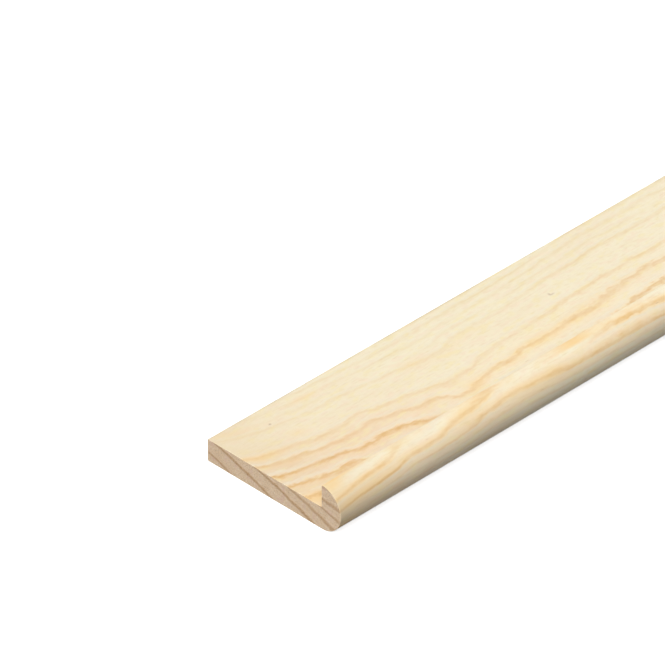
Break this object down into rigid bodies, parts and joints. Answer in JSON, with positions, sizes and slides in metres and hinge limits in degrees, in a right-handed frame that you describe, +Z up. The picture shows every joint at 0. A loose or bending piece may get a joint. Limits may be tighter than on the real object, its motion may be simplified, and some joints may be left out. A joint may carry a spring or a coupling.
{
  "type": "hockey stick moulding",
  "caption": "Length of planed pine moulding with a hockey stick section: a flat strip with an upstanding half-round lip along one edge, for covering and lapping panel edges.",
  "frame": {"origin": "middle of the underside, half way along the length and across the overall width, on the floor that the moulding lies on", "axes": "+X across the section towards the lip, +Y along the length, away from the end that is seen, +Z up out of the flat"},
  "size_m": [0.042, 2.4, 0.012],
  "materials": {
    "planed_pine": "planed bare softwood with sawn ends"
  },
  "bodies": {
    "root": {"hockey_stick_moulding": "planed_pine"}
  },
  "joints": []
}
